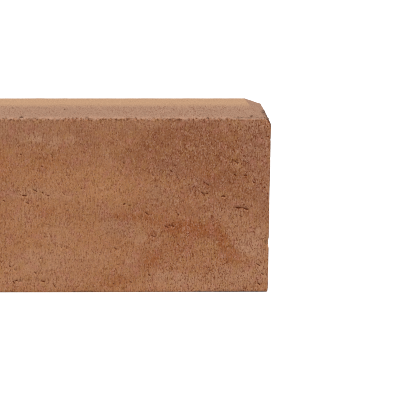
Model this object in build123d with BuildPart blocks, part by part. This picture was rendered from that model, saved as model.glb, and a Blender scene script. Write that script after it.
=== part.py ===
"""Garden kerb: one vibropressed concrete block, 1000 x 250 x 80 mm, to be set upright on its long edge.

The kerb is a straight prism. Its section is an upright rectangle with a 45 degree bevel along the top
front arris, where feet and mower wheels meet it. The back, base and ends are flat, so that paving, bedding
and the next kerb lie close against them. Every arris is slightly rounded by wear. At one end the top corner
is worn off through the whole thickness: the top falls gently, then steeply, to the end face.

X runs along the kerb, the front face looks towards -Y, and Z is up from the middle of the base.
"""

import os

from build123d import *

# Driving dimensions, in millimetres
length = 1000.0
height = 250.0
thickness = 80.0
bevel = 15.0  # both legs of the bevel on the top front arris
arris_radius = 1.2  # wear on every arris
worn_length = 27.0  # how far the worn corner reaches back along the top
worn_height = 23.0  # how far it reaches down the end face
knee_in = 8.0  # how far the knee between its two slopes lies in from the end face
knee_down = 6.5  # how far the knee lies below the top

# The two slopes of the worn corner, each a plane across the whole thickness
gentle_start = Vector(length / 2 - worn_length, 0, height)
knee = Vector(length / 2 - knee_in, 0, height - knee_down)
steep_end = Vector(length / 2, 0, height - worn_height)
gentle_normal = (knee - gentle_start).cross(Vector(0, 1, 0))
steep_normal = (steep_end - knee).cross(Vector(0, 1, 0))

with BuildPart() as kerb:
    with BuildSketch(Plane.YZ.offset(-length / 2)) as section:
        with Locations((0, height / 2)):
            Rectangle(thickness, height)
        top_front = section.vertices().group_by(Axis.Y)[-1].sort_by(Axis.X)[0]
        chamfer(top_front, bevel)
    extrude(amount=length)
    split(bisect_by=Plane(origin=knee, z_dir=gentle_normal), keep=Keep.BOTTOM)
    split(bisect_by=Plane(origin=knee, z_dir=steep_normal), keep=Keep.BOTTOM)
    fillet(kerb.edges(), arris_radius)

kerb.part.label = "kerb"

os.makedirs("parts", exist_ok=True)
export_step(kerb.part, "parts/kerb.step")

print("kerb volume, litres:", round(kerb.part.volume / 1e6, 3))
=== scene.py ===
"""Garden kerb: the looks of one vibropressed concrete block in a tan, rust and brown mix.

The frame gives the block its place and size. Kerb cuts the skin of the block from a lattice, wears and
chips its arrises, and sinks the pits and short tears that a dry, pressed mix leaves. CastConcrete is its
finish. Studio holds the pale floor and the soft light, and PhotoView is the camera.

Units are metres, and a name that ends in MM or _mm is in millimetres. X runs along the kerb, the front
face looks towards -Y, and Z is up. Across and down are places in the photograph, in pixels from its top
left corner.
"""

import logging
import math
from dataclasses import dataclass
from enum import Enum

import bpy
import numpy as np
from mathutils import Matrix, Vector


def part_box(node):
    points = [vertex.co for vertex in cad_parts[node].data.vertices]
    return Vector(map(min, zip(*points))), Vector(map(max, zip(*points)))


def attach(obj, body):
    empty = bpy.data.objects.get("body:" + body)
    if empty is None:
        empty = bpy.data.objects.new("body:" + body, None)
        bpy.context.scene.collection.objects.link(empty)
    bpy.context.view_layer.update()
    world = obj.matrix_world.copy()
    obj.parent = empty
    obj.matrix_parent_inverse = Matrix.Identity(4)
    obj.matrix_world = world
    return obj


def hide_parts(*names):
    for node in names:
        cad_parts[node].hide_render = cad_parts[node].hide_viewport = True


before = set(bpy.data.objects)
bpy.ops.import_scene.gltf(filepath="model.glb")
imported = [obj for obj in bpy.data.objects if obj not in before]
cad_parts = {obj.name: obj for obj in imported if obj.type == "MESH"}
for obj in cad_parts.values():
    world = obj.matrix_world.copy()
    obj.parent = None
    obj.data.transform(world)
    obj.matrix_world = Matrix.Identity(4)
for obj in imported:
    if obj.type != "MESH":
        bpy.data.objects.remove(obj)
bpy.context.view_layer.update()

MM = 0.001
LOG = logging.getLogger("garden_kerb")

Colour = tuple[float, float, float]
Triple = tuple[float, float, float]
Socket = bpy.types.NodeSocket


def paint(red: float, green: float, blue: float) -> Colour:
    """Turns a colour as a screen shows it, from 0 to 255, into the share of light that it reflects.

    Args:
        red: The red value.
        green: The green value.
        blue: The blue value.

    Returns:
        The linear colour.
    """
    shares = (value / 255 for value in (red, green, blue))
    return tuple(s / 12.92 if s <= 0.04045 else ((s + 0.055) / 1.055) ** 2.4 for s in shares)


class Side(Enum):
    """A flat side of the kerb, with the direction that it faces."""

    FRONT = (0.0, -1.0, 0.0)
    BACK = (0.0, 1.0, 0.0)
    TOP = (0.0, 0.0, 1.0)
    BASE = (0.0, 0.0, -1.0)
    BEVEL = (0.0, -math.sqrt(0.5), math.sqrt(0.5))
    LEFT_END = (-1.0, 0.0, 0.0)
    RIGHT_END = (1.0, 0.0, 0.0)


class Tint(Enum):
    """A tint of the mix, as bright as the photograph shows it."""

    UMBER = (144, 90, 57)
    PLUM = (151, 101, 75)
    RUST = (156, 91, 50)
    ORANGE = (168, 109, 66)
    TAN = (182, 127, 84)
    ASH = (163, 117, 87)
    BLOOM = (182, 136, 105)


@dataclass(frozen=True)
class Facet:
    """A flat break across an arris or a corner of the block.

    Point is a place on it, facing is the direction that it faces, and ragged is how far its surface wanders.
    """

    point: Triple
    facing: Triple
    ragged: float

    def depth_below(self, points: np.ndarray) -> np.ndarray:
        """Gives how deep points lie below the break.

        Args:
            points: One point a row.

        Returns:
            One depth for each point, positive inside the block.
        """
        return (np.array(self.point) - points) @ np.array(Vector(self.facing).normalized())


@dataclass(frozen=True)
class KerbSize:
    """The sizes of the kerb, in metres: its box from the frame, and the sizes that a box doesn't hold.

    Worn length and worn height are how far the worn corner reaches back along the top and down the end.
    Knee in and knee down are where its two slopes meet. Steep turn turns the steep slope a little towards
    the front: it is the part of the slope's normal, about 18 mm long, that points there.
    """

    low: Vector
    high: Vector
    bevel: float = 15 * MM
    worn_length: float = 27 * MM
    worn_height: float = 23 * MM
    knee_in: float = 8 * MM
    knee_down: float = 6.5 * MM
    steep_turn: float = 0.52 * MM
    slope_ragged: float = 1.3 * MM
    arris_ragged: float = 1.9 * MM

    @classmethod
    def from_frame(cls, node: str) -> "KerbSize":
        """Reads the box of a node of the frame.

        Args:
            node: The name of the CAD node.

        Returns:
            The sizes of that node.
        """
        low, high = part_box(node)
        return cls(low, high)

    def depth_below(self, points: np.ndarray, side: Side) -> np.ndarray:
        """Gives how deep points lie below a side of the sharp, unworn block.

        Args:
            points: One point a row.
            side: The side that the depth is measured from.

        Returns:
            One depth for each point, positive inside the block.
        """
        normal = np.array(side.value)
        reach = {
            Side.FRONT: -self.low.y,
            Side.BACK: self.high.y,
            Side.TOP: self.high.z,
            Side.BASE: -self.low.z,
            Side.BEVEL: (self.high.z - self.low.y - self.bevel) * math.sqrt(0.5),
            Side.LEFT_END: -self.low.x,
            Side.RIGHT_END: self.high.x,
        }
        return reach[side] - points @ normal

    def breaks(self) -> tuple[Facet, Facet, Facet]:
        """Gives the worn surfaces at the right end and along the front.

        Returns:
            The gentle and the steep slope of the worn corner, and the crumbled arris between the bevel and
            the front.
        """
        knee = (self.high.x - self.knee_in, self.low.y, self.high.z - self.knee_down)
        gentle = (self.knee_down, 0.0, self.worn_length - self.knee_in)
        steep = (self.worn_height - self.knee_down, -self.steep_turn, self.knee_in)
        arris = (0.0, self.low.y, self.high.z - self.bevel)
        crumbled = Vector(Side.BEVEL.value) + Vector(Side.FRONT.value)
        return (
            Facet(knee, gentle, self.slope_ragged),
            Facet(knee, steep, self.slope_ragged),
            Facet(arris, tuple(crumbled), self.arris_ragged),
        )


@dataclass(frozen=True)
class PhotoView:
    """The camera, at the photograph's viewing angle.

    A long lens from far away keeps the kerb's long edges level, as the photograph has them. Angles are in
    degrees: yaw is how far the camera stands round to the left, pitch how far it looks down, and roll levels
    the edges. Distance is how far it stands from its aim, and reach how far the lens sees.
    """

    lens_mm: float = 1200.0
    sensor_mm: float = 36.0
    picture_px: float = 400.0
    yaw: float = 7.0
    pitch: float = 9.4
    roll: float = 1.075
    distance: float = 17.812
    aim: Triple = (0.4060, -0.040, 0.12486)
    reach: float = 80.0

    def axes(self) -> tuple[Vector, Vector, Vector]:
        """Gives the camera's own directions.

        Returns:
            Its right, its up and the way it looks.
        """
        yaw, pitch, roll = (math.radians(a) for a in (self.yaw, self.pitch, self.roll))
        ahead = Vector((math.sin(yaw) * math.cos(pitch), math.cos(yaw) * math.cos(pitch), -math.sin(pitch)))
        level = Vector((math.cos(yaw), -math.sin(yaw), 0.0))
        upright = level.cross(ahead)
        right = math.cos(roll) * level + math.sin(roll) * upright
        up = math.cos(roll) * upright - math.sin(roll) * level
        return right, up, ahead

    def on_plane(self, across: float, down: float, point: Vector, side: Side) -> Vector:
        """Finds the point of a side of the kerb that the camera sees at a place in the picture.

        Args:
            across: The place's distance from the picture's left edge, in pixels.
            down: Its distance from the top edge, in pixels.
            point: Any point of the side.
            side: The side.

        Returns:
            The point on the side.
        """
        right, up, ahead = self.axes()
        pixel = self.sensor_mm / self.lens_mm / self.picture_px
        middle = self.picture_px / 2
        ray = ahead + right * (across - middle) * pixel - up * (down - middle) * pixel
        start = Vector(self.aim) - ahead * self.distance
        facing = Vector(side.value)
        return start + ray * ((point - start).dot(facing) / ray.dot(facing))

    def on_front(self, across: float, down: float, front: float) -> Vector:
        """Finds the point of the kerb's front face that the camera sees at a place in the picture.

        Args:
            across: The place's distance from the picture's left edge, in pixels.
            down: Its distance from the top edge, in pixels.
            front: The front face's place along Y.

        Returns:
            The point on the face.
        """
        return self.on_plane(across, down, Vector((0, front, 0)), Side.FRONT)

    def build(self) -> None:
        """Sets up the camera and makes it the scene's own."""
        right, up, ahead = self.axes()
        lens = bpy.data.cameras.new("photo_camera")
        lens.lens = self.lens_mm
        lens.sensor_width = self.sensor_mm
        lens.clip_start = 0.1
        lens.clip_end = self.reach
        camera = bpy.data.objects.new("photo_camera", lens)
        turn = Matrix((right, up, -ahead)).transposed()
        camera.matrix_world = Matrix.Translation(Vector(self.aim) - ahead * self.distance) @ turn.to_4x4()
        bpy.context.scene.collection.objects.link(camera)
        bpy.context.scene.camera = camera


class Grit:
    """Smooth noise from 0 to 1, read from a seeded lattice of random numbers."""

    def __init__(self, seed: int, cells: int = 48) -> None:
        """Fills the lattice.

        Args:
            seed: The seed of the random numbers.
            cells: How many cells the lattice has each way before it repeats.
        """
        self.cells = cells
        self.table = np.random.default_rng(seed).random((cells, cells, cells))

    def at(self, points: np.ndarray, period: float) -> np.ndarray:
        """Reads the noise.

        Args:
            points: One point a row, in metres.
            period: The size of one cell, in metres.

        Returns:
            One value for each point.
        """
        place = points / period
        corner = np.floor(place).astype(int)
        blend = place - corner
        blend = blend * blend * (3 - 2 * blend)
        total = np.zeros(len(points))
        for dx in (0, 1):
            share_x = blend[:, 0] if dx else 1 - blend[:, 0]
            for dy in (0, 1):
                share_y = blend[:, 1] if dy else 1 - blend[:, 1]
                for dz in (0, 1):
                    share_z = blend[:, 2] if dz else 1 - blend[:, 2]
                    cell = (corner + (dx, dy, dz)) % self.cells
                    total += self.table[cell[:, 0], cell[:, 1], cell[:, 2]] * share_x * share_y * share_z
        return total

    def layers(self, points: np.ndarray, period: float, count: int) -> np.ndarray:
        """Adds up finer and finer layers of the noise.

        Args:
            points: One point a row, in metres.
            period: The size of the coarsest layer's cell.
            count: How many layers there are, each of half the period and half the height.

        Returns:
            One value from 0 to 1 for each point.
        """
        total = np.zeros(len(points))
        weight = 1.0
        full = 0.0
        for _ in range(count):
            total += weight * self.at(points, period)
            full += weight
            weight /= 2
            period /= 2
        return total / full


@dataclass(frozen=True)
class Chip:
    """A scoop out of the block: an ellipsoid whose middle lies outside the stone."""

    centre: Triple
    radii: Triple


@dataclass(frozen=True)
class Hollow:
    """A pit or a short tear: a groove from start to end, as deep as it says in its middle."""

    start: Triple
    end: Triple
    radius: float
    depth: float


@dataclass(frozen=True)
class Arris:
    """An edge between two sides, and how crumbly it is.

    Outward points away from the stone, halfway between the two sides. Length and bite of the chips are in
    metres, and the half width of a chip is its bite times its spread.
    """

    start: Triple
    end: Triple
    outward: Triple
    chips_per_metre: float
    chip_length: tuple[float, float]
    chip_bite: tuple[float, float]
    chip_spread: tuple[float, float] = (1.6, 3.2)

    def chips(self, rng: np.random.Generator) -> list[Chip]:
        """Draws the chips of this arris.

        Args:
            rng: The source of random numbers.

        Returns:
            The chips, spread along the arris.
        """
        start, end = Vector(self.start), Vector(self.end)
        outward = Vector(self.outward).normalized()
        along = (end - start).normalized()
        made = []
        for _ in range(round(self.chips_per_metre * (end - start).length)):
            place = start.lerp(end, rng.random())
            bite = self.chip_bite[0] + (self.chip_bite[1] - self.chip_bite[0]) * rng.random() ** 2
            half = rng.uniform(*self.chip_length) / 2
            across = bite * rng.uniform(*self.chip_spread)
            centre = place + outward * (across - bite)
            radii = [abs(a) * half + (1 - abs(a)) * across for a in along]
            made.append(Chip(tuple(centre), tuple(radii)))
        return made


@dataclass(frozen=True)
class Pitting:
    """How many pits one side has, and their size in metres."""

    per_square_metre: float
    radius: tuple[float, float]
    depth: tuple[float, float]


@dataclass(frozen=True)
class Mark:
    """A pit or tear that the photograph shows, from one place in it to another.

    Width and depth are in millimetres. Side is the side of the kerb that it is on.
    """

    across: float
    down: float
    to_across: float
    to_down: float
    width_mm: float = 1.7
    depth_mm: float = 1.0
    side: Side = Side.FRONT

    def hollow(self, view: PhotoView, size: KerbSize) -> Hollow:
        """Lays the mark on its side of the kerb.

        Args:
            view: The camera.
            size: The sizes of the kerb.

        Returns:
            The hollow.
        """
        arris = Vector((0.0, size.low.y, size.high.z - size.bevel))
        start = view.on_plane(self.across, self.down, arris, self.side)
        end = view.on_plane(self.to_across, self.to_down, arris, self.side)
        return Hollow(tuple(start), tuple(end), self.width_mm / 2 * MM, self.depth_mm * MM)


@dataclass(frozen=True)
class Patch:
    """A soft patch of tint on the front face.

    Across and down are its middle in the photograph. Reach is its half width and half height there, in
    pixels. Lean turns it, in degrees, with its right end down.
    """

    tint: Tint
    across: float
    down: float
    reach: tuple[float, float]
    strength: float
    lean: float = 0.0


@dataclass(frozen=True)
class Mottle:
    """A noise, mapped to a value that is bottom where the noise is low and top where it is high.

    Scale is how many cells the noise has to the metre, detail how many finer layers it has, and rough how
    strong those are.
    """

    scale: float
    low: float
    high: float
    bottom: float = 0.0
    top: float = 1.0
    detail: float = 2.0
    rough: float = 0.5


@dataclass(frozen=True)
class Shift:
    """A value that changes along the kerb, round a place across the photograph.

    It is left up to the distance before that place, and right from the distance after it.
    """

    across: float
    before: float
    after: float
    left: float
    right: float


@dataclass(frozen=True)
class Fade:
    """A share that is whole at a surface and falls to nothing below it.

    Start is the share at no depth, before it is cut off at 1. Over is the depth that takes 1 off it.
    """

    start: float
    over: float

    def at(self, depth: np.ndarray) -> np.ndarray:
        """Gives the share at each depth."""
        return np.clip(self.start - depth / self.over, 0, 1)


class NodeSketch:
    """A material's node tree, with a short method for each kind of node that the finishes use."""

    def __init__(self, name: str) -> None:
        """Starts an empty material.

        Args:
            name: The name of the material.
        """
        self.material = bpy.data.materials.new(name)
        self.material.use_nodes = True
        self.tree = self.material.node_tree
        self.tree.nodes.clear()

    def add(self, kind: str, values: dict | None = None, **settings: object) -> bpy.types.Node:
        """Adds a node.

        Args:
            kind: Blender's name for the kind of node.
            values: What goes into each input, by its name or number: a socket to link, or a plain value.
            **settings: The node's own settings.

        Returns:
            The node.
        """
        node = self.tree.nodes.new(kind)
        for setting, choice in settings.items():
            setattr(node, setting, choice)
        for key, value in (values or {}).items():
            if isinstance(value, Socket):
                self.tree.links.new(value, node.inputs[key])
            else:
                node.inputs[key].default_value = value
        return node

    def math(self, operation: str, first: object, second: object = 0.0, third: object = 0.0) -> Socket:
        """Adds a Math node.

        Args:
            operation: What it works out, such as ADD.
            first: The first number or socket.
            second: The second number or socket.
            third: The third number or socket.

        Returns:
            The result's socket.
        """
        return self.add("ShaderNodeMath", {0: first, 1: second, 2: third}, operation=operation).outputs[0]

    def vector(self, operation: str, first: object, second: object) -> Socket:
        """Adds a Vector Math node.

        Args:
            operation: What it works out, such as MULTIPLY.
            first: The first vector or socket.
            second: The second vector or socket.

        Returns:
            The result's socket.
        """
        return self.add("ShaderNodeVectorMath", {0: first, 1: second}, operation=operation).outputs["Vector"]

    def noise(self, where: Socket, scale: float, detail: float = 2.0, rough: float = 0.5) -> Socket:
        """Adds a Noise Texture.

        Args:
            where: The socket of the coordinates.
            scale: How many cells it has to the metre.
            detail: How many finer layers it has.
            rough: How strong the finer layers are.

        Returns:
            The socket of the noise, from 0 to 1.
        """
        values = {"Vector": where, "Scale": scale, "Detail": detail, "Roughness": rough}
        return self.add("ShaderNodeTexNoise", values).outputs["Fac"]

    def drift(self, where: Socket, scale: float, reach: Triple) -> Socket:
        """Shifts coordinates to and fro by a noise.

        Args:
            where: The socket of the coordinates.
            scale: How many cells the noise has to the metre.
            reach: How far from one end of the shift to the other, along each axis.

        Returns:
            The socket of the shifted coordinates.
        """
        values = {"Vector": where, "Scale": scale, "Detail": 2.0, "Roughness": 0.55}
        wander = self.add("ShaderNodeTexNoise", values).outputs["Color"]
        centred = self.vector("SUBTRACT", wander, (0.5, 0.5, 0.5))
        return self.vector("ADD", where, self.vector("MULTIPLY", centred, reach))

    def ramp(self, value: Socket, low: float, high: float, bottom: float = 0.0, top: float = 1.0) -> Socket:
        """Maps a value with soft ends.

        Args:
            value: The socket of the value.
            low: The value that gives bottom.
            high: The value that gives top.
            bottom: The result at low.
            top: The result at high.

        Returns:
            The result's socket.
        """
        values = {"Value": value, "From Min": low, "From Max": high, "To Min": bottom, "To Max": top}
        return self.add("ShaderNodeMapRange", values, interpolation_type="SMOOTHSTEP").outputs["Result"]

    def mottle(self, where: Socket, mottle: Mottle) -> Socket:
        """Adds a noise and maps it.

        Args:
            where: The socket of the coordinates.
            mottle: The noise and what it is mapped to.

        Returns:
            The result's socket.
        """
        noise = self.noise(where, mottle.scale, mottle.detail, mottle.rough)
        return self.ramp(noise, mottle.low, mottle.high, mottle.bottom, mottle.top)

    def blend(self, share: object, under: object, over: object) -> Socket:
        """Lays one colour over another.

        Args:
            share: How much of the upper colour shows.
            under: The lower colour or its socket.
            over: The upper colour or its socket.

        Returns:
            The result's socket.
        """
        values = {0: share, 6: self.rgba(under), 7: self.rgba(over)}
        return self.add("ShaderNodeMix", values, data_type="RGBA").outputs[2]

    @staticmethod
    def rgba(colour: object) -> object:
        """Gives a plain colour its fourth channel, and leaves a socket as it is."""
        return (*colour, 1.0) if isinstance(colour, tuple) else colour

    def attribute(self, name: str) -> Socket:
        """Reads a number that the mesh holds at each vertex."""
        return self.add("ShaderNodeAttribute", attribute_name=name).outputs["Fac"]

    def position(self) -> Socket:
        """Gives the place on the kerb, in metres."""
        return self.add("ShaderNodeNewGeometry").outputs["Position"]

    def finish(self, surface: Socket) -> bpy.types.Material:
        """Links the surface to the output.

        Args:
            surface: The shader's socket.

        Returns:
            The finished material.
        """
        self.add("ShaderNodeOutputMaterial", {"Surface": surface})
        return self.material


@dataclass(frozen=True)
class CastConcrete:
    """Dry, vibropressed concrete: sandy, matt and unevenly coloured by the pigment in its mix.

    The front is rough and brown. The bevel and the top are smoother and paler, and part of their pale, grey
    tone is painted sheen. The ends are smooth and tan. A name that ends in shape is what the coordinates are
    multiplied by, so a small number draws the grain out along that axis. A name that ends in most is the
    largest share that its layer takes.
    """

    size: KerbSize
    view: PhotoView
    patches: tuple[Patch, ...]
    body: Colour = paint(168, 114, 77)
    # The bevel's and the top's tones: partly their own paler, smoother cast, partly painted sheen that pales
    # and greys them.
    bevel: Colour = paint(160, 129, 109)
    top: Colour = paint(189, 152, 119)
    end: Colour = paint(192, 143, 106)
    # The pale rim on the bevel's lip: partly paler worn stone, partly a painted highlight where the lip
    # catches the light.
    rim: Colour = paint(194, 150, 124)
    dark_grain: Colour = (0.150, 0.025, 0.001)
    pale_grain: Colour = (0.570, 0.325, 0.220)
    pink_grain: Colour = paint(173, 111, 91)
    olive_grain: Colour = paint(166, 118, 70)
    grey_grain: Colour = paint(128, 100, 82)
    # Painted shade: the dark line along the foot of the front, where the block meets the floor.
    foot_shade: Colour = (0.045, 0.018, 0.011)
    # Dirt and painted shade in the pits and tears, darker the deeper they are. The bevel's pits take the
    # grey tone.
    pit_dirt_and_shade: Colour = (0.175, 0.033, 0.005)
    # Partly the rough core of the crumbled arris and partly painted shade in the notches under the bevel's
    # lip.
    crumb_and_shade: Colour = (0.130, 0.046, 0.020)
    grey_pit_dirt_and_shade: Colour = (0.120, 0.055, 0.030)
    # Painted shade: dark brown-grey laid on the right end's front arris, the steep slope and the scoops of
    # the worn corner.
    right_end_shade: Colour = paint(74, 52, 43)
    roughness: Mottle = Mottle(300, 0.3, 0.7, 0.84, 0.96)
    specular: float = 0.16
    bump_distance: float = 0.22 * MM
    wide_fray: tuple[float, Triple] = (22, (0.022, 0.022, 0.016))
    fine_fray: tuple[float, Triple] = (110, (0.011, 0.011, 0.011))
    cloud_shape: Triple = (0.6, 1.0, 1.5)
    clouds: tuple[tuple[Tint, Mottle], ...] = (
        (Tint.UMBER, Mottle(11, 0.50, 0.66, 0.0, 0.80, 3)),
        (Tint.PLUM, Mottle(15, 0.52, 0.70, 0.0, 0.60, 3)),
        (Tint.RUST, Mottle(17, 0.55, 0.70, 0.0, 0.85, 3)),
        (Tint.ORANGE, Mottle(13, 0.54, 0.70, 0.0, 0.70, 3)),
        (Tint.TAN, Mottle(9, 0.47, 0.64, 0.0, 0.85, 3)),
        (Tint.ASH, Mottle(19, 0.54, 0.72, 0.0, 0.60, 3)),
        (Tint.BLOOM, Mottle(23, 0.56, 0.72, 0.0, 0.80, 3)),
    )
    cloud_shift: Shift = Shift(-25, 0.03, 0.03, 1.0, 0.25)
    patch_depth: float = 30 * MM
    patch_core: float = 0.6
    smooth_side_stain: float = 0.18
    blotch: Mottle = Mottle(70, 0.50, 0.70, 0.0, 0.50)
    grain_shape: Triple = (1.3, 1.3, 0.72)
    grain_scale: float = 760.0
    grain_crowd: Mottle = Mottle(45, 0.30, 0.70, 0.75, 1.25, 3, 0.6)
    grain_on_bevel: float = 0.60
    grain_lost_on_top: float = 0.34
    grain_shift: Shift = Shift(175, 0.09, 0.05, 0.98, 1.33)
    dark_below: float = 0.42
    dark_most: float = 0.58
    pale_above: float = 0.58
    pale_most: float = 0.36
    drag_shape: Triple = (1.4, 1.4, 0.16)
    drag: Mottle = Mottle(520, 0.50, 0.76, 0.0, 0.46, 1)
    speck_shape: Triple = (0.5, 1.0, 1.0)
    speck: Mottle = Mottle(240, 0.56, 0.70, 0.0, 0.40, 2, 0.7)
    speck_crowd: Mottle = Mottle(24, 0.42, 0.60)
    unevenness: Mottle = Mottle(260, 0.35, 0.65)
    rim_most: float = 0.75
    right_end_shade_most: float = 0.9
    pale_crumbs: Mottle = Mottle(280, 0.38, 0.50, 0.45, 0.0)
    dark_crumbs: Mottle = Mottle(280, 0.47, 0.60, 0.0, 0.85)
    pit_darkening_breaks: Mottle = Mottle(420, 0.35, 0.55, 0.55, 1.0, 1)
    pit_darkening_from_mm: float = 0.12
    pit_darkening_full_mm: float = 0.85
    pit_darkening_most: float = 0.97
    sand_shape: Triple = (1.4, 1.4, 0.9)
    sand_scale: float = 620.0
    furrow_shape: Triple = (1.4, 1.4, 0.3)
    furrow_scale: float = 520.0
    furrow_height: float = 0.5
    pore_scale: float = 380.0
    pore_radius: float = 0.4
    pore_height: float = 0.4
    smooth_side_height: float = 0.4

    def material(self) -> bpy.types.Material:
        """Builds the material.

        Returns:
            The finished material.
        """
        sketch = NodeSketch("cast_concrete")
        place = sketch.position()
        rough_cast = sketch.attribute("rough_cast")
        colour = self.mix_colour(sketch, place)
        colour = self.sand(sketch, place, rough_cast, colour)
        colour = self.wear_and_painted_light(sketch, place, colour)
        height = self.grain_height(sketch, place, rough_cast)
        bump = sketch.add("ShaderNodeBump", {"Distance": self.bump_distance, "Height": height})
        values = {
            "Base Color": colour,
            "Roughness": sketch.mottle(place, self.roughness),
            "Specular IOR Level": self.specular,
            "Normal": bump.outputs["Normal"],
        }
        return sketch.finish(sketch.add("ShaderNodeBsdfPrincipled", values).outputs["BSDF"])

    def mix_colour(self, sketch: NodeSketch, place: Socket) -> Socket:
        """Clouds the body colour as the pigment lies in the mix, and gives the smoother sides their tones,
        partly painted sheen on the bevel and the top.

        Args:
            sketch: The node tree.
            place: The socket of the place on the kerb.

        Returns:
            The socket of the colour, without its grain.
        """
        warped = sketch.drift(sketch.drift(place, *self.wide_fray), *self.fine_fray)
        banded = sketch.vector("MULTIPLY", warped, self.cloud_shape)
        unseen = self.along(sketch, place, self.cloud_shift)
        shares = {}
        for number, (tint, mottle) in enumerate(self.clouds):
            apart = (0.7 * number, 0.3, 1.1 * number)
            cloud = sketch.mottle(sketch.vector("ADD", banded, apart), mottle)
            shares[tint] = sketch.math("MULTIPLY", cloud, unseen)
        for patch in self.patches:
            mask = self.patch_mask(sketch, warped, patch)
            shares[patch.tint] = sketch.math("MAXIMUM", shares[patch.tint], mask)
        colour = self.body
        for tint in (Tint.TAN, Tint.ORANGE, Tint.ASH, Tint.UMBER, Tint.PLUM, Tint.BLOOM, Tint.RUST):
            colour = sketch.blend(shares[tint], colour, paint(*tint.value))
        clouded = colour
        # Partly painted sheen: the bevel's and the top's paler, greyer tones stand in for their whitish
        # sheen.
        for name, tone in (("on_bevel", self.bevel), ("on_top", self.top), ("on_end", self.end)):
            cast = sketch.blend(self.smooth_side_stain, tone, clouded)
            colour = sketch.blend(sketch.attribute(name), colour, cast)
        return colour

    def along(self, sketch: NodeSketch, place: Socket, shift: Shift) -> Socket:
        """Gives a value that changes along the kerb.

        Args:
            sketch: The node tree.
            place: The socket of the place on the kerb.
            shift: Where the value changes, and from what to what.

        Returns:
            The socket of the value.
        """
        middle = self.view.on_front(shift.across, self.view.picture_px / 2, self.size.low.y).x
        length = sketch.add("ShaderNodeSeparateXYZ", {0: place}).outputs["X"]
        return sketch.ramp(length, middle - shift.before, middle + shift.after, shift.left, shift.right)

    def patch_mask(self, sketch: NodeSketch, warped: Socket, patch: Patch) -> Socket:
        """Gives the share that a patch of tint has at each place.

        Args:
            sketch: The node tree.
            warped: The socket of the place, frayed so that the patch has no clean outline.
            patch: The patch.

        Returns:
            The socket of the share.
        """
        front = self.size.low.y
        middle = self.view.on_front(patch.across, patch.down, front)
        beside = self.view.on_front(patch.across + patch.reach[0], patch.down, front)
        above = self.view.on_front(patch.across, patch.down - patch.reach[1], front)
        values = {
            "Vector": warped,
            "Location": middle,
            "Rotation": (0.0, math.radians(patch.lean), 0.0),
            "Scale": ((beside - middle).length, self.patch_depth, (above - middle).length),
        }
        local = sketch.add("ShaderNodeMapping", values, vector_type="TEXTURE").outputs["Vector"]
        ball = sketch.add("ShaderNodeTexGradient", {"Vector": local}, gradient_type="SPHERICAL")
        return sketch.ramp(ball.outputs["Fac"], 0.0, self.patch_core, 0.0, patch.strength)

    def sand(self, sketch: NodeSketch, place: Socket, rough_cast: Socket, colour: Socket) -> Socket:
        """Adds pink and olive blotches, dark and pale grains, drag marks and the bevel's grey specks.

        Args:
            sketch: The node tree.
            place: The socket of the place on the kerb.
            rough_cast: The socket that is 1 on the rough sides.
            colour: The socket of the clouded colour.

        Returns:
            The socket of the grainy colour.
        """
        for number, grain in enumerate((self.pink_grain, self.olive_grain)):
            apart = (0.31 * number, 0.17, 0.23)
            blotch = sketch.mottle(sketch.vector("ADD", place, apart), self.blotch)
            colour = sketch.blend(sketch.math("MULTIPLY", blotch, rough_cast), colour, grain)
        stretched = sketch.vector("MULTIPLY", place, self.grain_shape)
        cells = sketch.add("ShaderNodeTexVoronoi", {"Vector": stretched, "Scale": self.grain_scale})
        chance = sketch.add("ShaderNodeSeparateColor", {"Color": cells.outputs["Color"]})
        crowd = sketch.mottle(place, self.grain_crowd)
        on_top = sketch.attribute("on_top")
        smooth = sketch.math("MULTIPLY_ADD", on_top, -self.grain_lost_on_top, self.grain_on_bevel)
        by_side = sketch.add("ShaderNodeMapRange", {"Value": rough_cast, "To Min": smooth}).outputs["Result"]
        by_place = self.along(sketch, place, self.grain_shift)
        strength = sketch.math("MULTIPLY", crowd, sketch.math("MULTIPLY", by_side, by_place))
        dark = sketch.ramp(chance.outputs["Red"], 0.0, self.dark_below, self.dark_most, 0.0)
        pale = sketch.ramp(chance.outputs["Green"], self.pale_above, 1.0, 0.0, self.pale_most)
        drag = sketch.mottle(sketch.vector("MULTIPLY", place, self.drag_shape), self.drag)
        for share, grain in ((dark, self.dark_grain), (pale, self.pale_grain), (drag, self.dark_grain)):
            colour = sketch.blend(sketch.math("MULTIPLY", share, strength), colour, grain)
        speck = sketch.mottle(sketch.vector("MULTIPLY", place, self.speck_shape), self.speck)
        speck = sketch.math("MULTIPLY", speck, sketch.mottle(place, self.speck_crowd))
        speck = sketch.math("MULTIPLY", speck, sketch.attribute("on_bevel"))
        return sketch.blend(speck, colour, self.grey_grain)

    def wear_and_painted_light(self, sketch: NodeSketch, place: Socket, colour: Socket) -> Socket:
        """Adds wear and painted light: pale rim, crumbs, dark foot, dark right end, and dirt and shade in
        the pits.

        The rim, partly wear and partly a painted highlight, and the pale and dark crumbs lie along the front
        arris. The dark crumbs are partly painted shade. The foot gets painted shade, and so do the front
        arris of the right end and the worn corner. The pits get dirt and painted shade.

        Args:
            sketch: The node tree.
            place: The socket of the place on the kerb.
            colour: The socket of the grainy colour.

        Returns:
            The socket of the finished colour.
        """
        uneven = sketch.mottle(place, self.unevenness)
        # The rim: partly wear, partly a painted highlight on the bevel's lip.
        rim = sketch.math("MULTIPLY", self.broken_up(sketch, "rim", uneven, 0.5), self.rim_most)
        colour = sketch.blend(rim, colour, self.rim)
        # Pale crumbs take the rim's tone, partly a painted highlight. Dark crumbs are partly painted shade
        # in the notches under the lip.
        crumble = sketch.attribute("crumble")
        for tone, crumbs in ((self.rim, self.pale_crumbs), (self.crumb_and_shade, self.dark_crumbs)):
            share = sketch.math("MULTIPLY", crumble, sketch.mottle(place, crumbs))
            colour = sketch.blend(share, colour, tone)
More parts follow.
